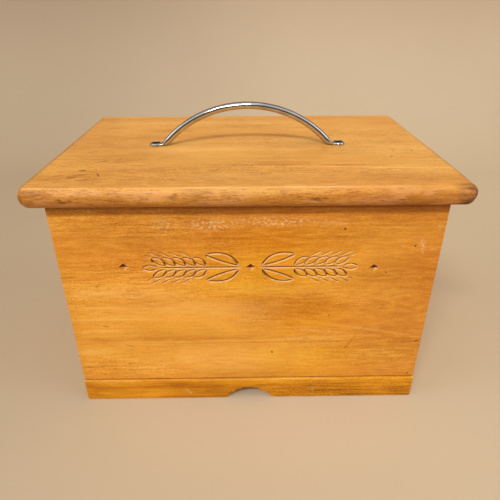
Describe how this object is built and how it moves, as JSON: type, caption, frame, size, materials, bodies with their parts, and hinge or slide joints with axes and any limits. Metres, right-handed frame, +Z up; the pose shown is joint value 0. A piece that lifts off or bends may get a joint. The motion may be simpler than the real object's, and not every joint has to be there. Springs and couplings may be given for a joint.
{
  "type": "bread box",
  "caption": "Pine bread box with a lift-off lid on battens, a chrome bow handle and a shallow crumb drawer with an arched finger notch.",
  "frame": {"origin": "centre of the footprint, at the height of the table that the box stands on", "axes": "+X to the right of someone facing the drawer, +Y to the back, +Z up"},
  "size_m": [0.406, 0.287, 0.3098],
  "materials": {
    "case_pine": "satin varnish over orange pine",
    "lid_pine": "worn satin varnish",
    "strip_pine": "satin varnish",
    "plug_wood": "satin varnish on filled holes",
    "inner_pine": "bare planed pine",
    "thin_board": "bare thin plywood",
    "chrome": "bright chrome plate",
    "dark_steel": "tarnished steel",
    "steel": "plain steel"
  },
  "bodies": {
    "case": {"front_panel": "case_pine", "left_side": "case_pine", "right_side": "case_pine", "back_panel": "case_pine", "floor_panel": "inner_pine", "left_runner": "inner_pine", "right_runner": "inner_pine", "runner_brads": "steel", "back_brads": "steel"},
    "lid": {"lid_board": "lid_pine", "left_batten": "inner_pine", "right_batten": "inner_pine", "batten_screws": "steel", "handle": "chrome", "handle_screws": "dark_steel"},
    "drawer": {"drawer_front": "strip_pine", "drawer_plugs": "plug_wood", "drawer_screws": "steel", "drawer_rail": "inner_pine", "drawer_left_side": "inner_pine", "drawer_right_side": "inner_pine", "drawer_back": "inner_pine", "drawer_bottom": "thin_board"}
  },
  "joints": [
    {"name": "lid_lift", "type": "slide", "parent": "case", "child": "lid", "axis": [0, 0, 1], "range_m": [0, 0.15]},
    {"name": "drawer_slide", "type": "slide", "parent": "case", "child": "drawer", "axis": [0, -1, 0], "range_m": [0, 0.18]}
  ]
}
